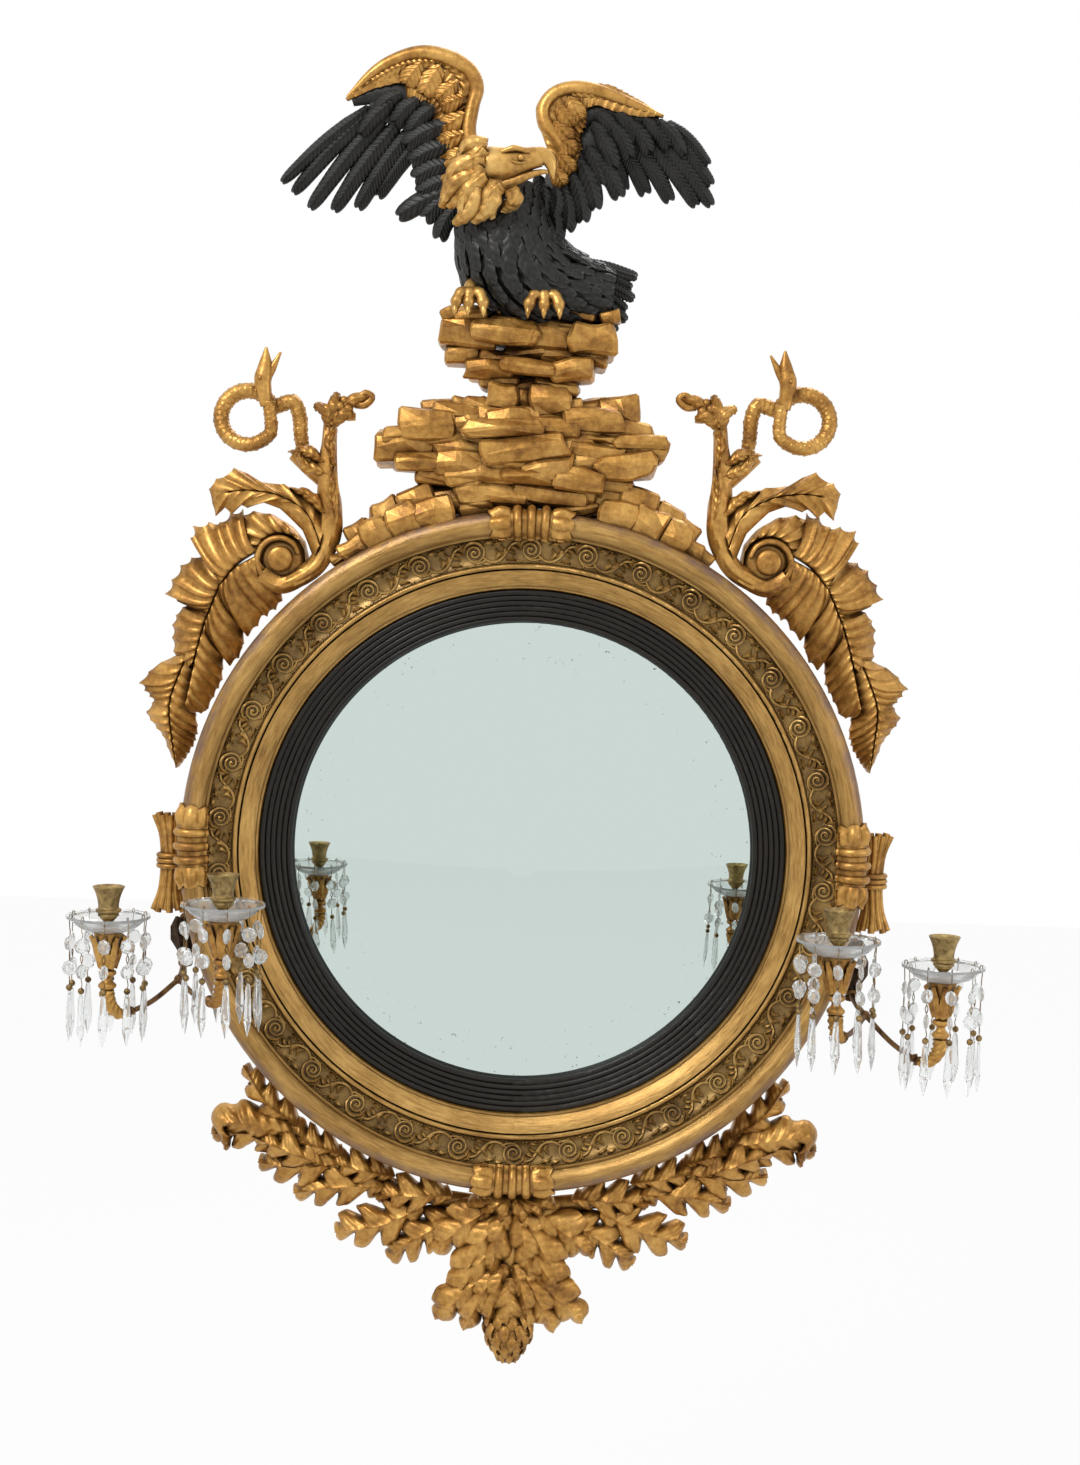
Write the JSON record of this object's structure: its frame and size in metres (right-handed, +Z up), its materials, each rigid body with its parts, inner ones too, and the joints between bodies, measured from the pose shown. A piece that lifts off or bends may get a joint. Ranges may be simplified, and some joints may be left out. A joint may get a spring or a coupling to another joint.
{
  "type": "girandole mirror",
  "caption": "Round convex wall mirror in a carved gilt ring with eagle crest, serpent scrolls, leafy apron and double candle arms hung with cut-glass drops.",
  "frame": {"origin": "centre of the ring in the plane of the wall", "axes": "+X to the viewer's right, +Y into the wall, +Z up"},
  "size_m": [1.0205, 0.2444, 1.5089],
  "materials": {
    "gilded_wood": "water-gilt carved wood, worn to red bole on the edges",
    "gilded_composition": "oil-gilt cast composition ornament",
    "ebonised_wood": "satin black lacquered wood",
    "mirror_glass": "convex silvered glass with light foxing",
    "softwood": "bare pine",
    "iron": "dark wrought iron",
    "bronze": "dull lacquered bronze",
    "old_brass": "aged brass",
    "cut_glass": "clear cut glass",
    "brass_wire": "dull brass wire"
  },
  "bodies": {
    "frame": {"frame_ring": "gilded_wood", "frieze_band": "gilded_composition", "ebonised_slip": "ebonised_wood", "mirror_plate": "mirror_glass", "glazing_blocks": "softwood", "backboard": "softwood", "backboard_screws": "iron", "hanging_plates": "iron", "frame_back_screws": "iron", "rockwork": "gilded_wood", "eagle_body": "ebonised_wood", "eagle_head": "gilded_wood", "eagle_wing_left": "ebonised_wood", "eagle_wing_right": "ebonised_wood", "eagle_feet": "gilded_wood", "apron_pendant": "gilded_wood", "ferrule_top": "gilded_wood", "ferrule_right": "gilded_wood", "ferrule_bottom": "gilded_wood", "ferrule_left": "gilded_wood", "reed_bundle_left": "gilded_wood", "reed_bundle_right": "gilded_wood", "scroll_left": "gilded_wood", "serpent_left": "gilded_wood", "bud_spray_left": "gilded_wood", "acanthus_left": "gilded_wood", "apron_spray_left": "gilded_wood", "arm_bracket_left": "iron", "scroll_right": "gilded_wood", "serpent_right": "gilded_wood", "bud_spray_right": "gilded_wood", "acanthus_right": "gilded_wood", "apron_spray_right": "gilded_wood", "arm_bracket_right": "iron"},
    "arm_left": {"arm_left": "bronze", "horn_outer_left": "gilded_wood", "candle_cup_outer_left": "gilded_wood", "nozzle_outer_left": "old_brass", "horn_inner_left": "gilded_wood", "candle_cup_inner_left": "gilded_wood", "nozzle_inner_left": "old_brass"},
    "arm_right": {"arm_right": "bronze", "horn_outer_right": "gilded_wood", "candle_cup_outer_right": "gilded_wood", "nozzle_outer_right": "old_brass", "horn_inner_right": "gilded_wood", "candle_cup_inner_right": "gilded_wood", "nozzle_inner_right": "old_brass"},
    "pan_outer_left": {"drip_pan_outer_left": "cut_glass", "drop_glass_outer_left": "cut_glass", "drop_links_outer_left": "brass_wire"},
    "pan_inner_left": {"drip_pan_inner_left": "cut_glass", "drop_glass_inner_left": "cut_glass", "drop_links_inner_left": "brass_wire"},
    "pan_outer_right": {"drip_pan_outer_right": "cut_glass", "drop_glass_outer_right": "cut_glass", "drop_links_outer_right": "brass_wire"},
    "pan_inner_right": {"drip_pan_inner_right": "cut_glass", "drop_glass_inner_right": "cut_glass", "drop_links_inner_right": "brass_wire"}
  },
  "joints": [
    {"name": "arm_left_swivel", "type": "hinge", "parent": "frame", "child": "arm_left", "pos_m": [-0.392, -0.022, -0.112], "axis": [0, 0, 1], "range_deg": [-15, 15]},
    {"name": "arm_right_swivel", "type": "hinge", "parent": "frame", "child": "arm_right", "pos_m": [0.392, -0.022, -0.13], "axis": [0, 0, 1], "range_deg": [-15, 15]},
    {"name": "pan_outer_left_turn", "type": "hinge", "parent": "arm_left", "child": "pan_outer_left", "pos_m": [-0.45525, -0.1558, -0.0832], "axis": [0, 0, 1], "range_deg": [-6, 6]},
    {"name": "pan_inner_left_turn", "type": "hinge", "parent": "arm_left", "child": "pan_inner_left", "pos_m": [-0.32323, -0.19051, -0.0612], "axis": [0, 0, 1], "range_deg": [-6, 6]},
    {"name": "pan_outer_right_turn", "type": "hinge", "parent": "arm_right", "child": "pan_outer_right", "pos_m": [0.47325, -0.1457, -0.1132], "axis": [0, 0, 1], "range_deg": [-6, 6]},
    {"name": "pan_inner_right_turn", "type": "hinge", "parent": "arm_right", "child": "pan_inner_right", "pos_m": [0.34735, -0.19844, -0.0792], "axis": [0, 0, 1], "range_deg": [-6, 6]}
  ]
}
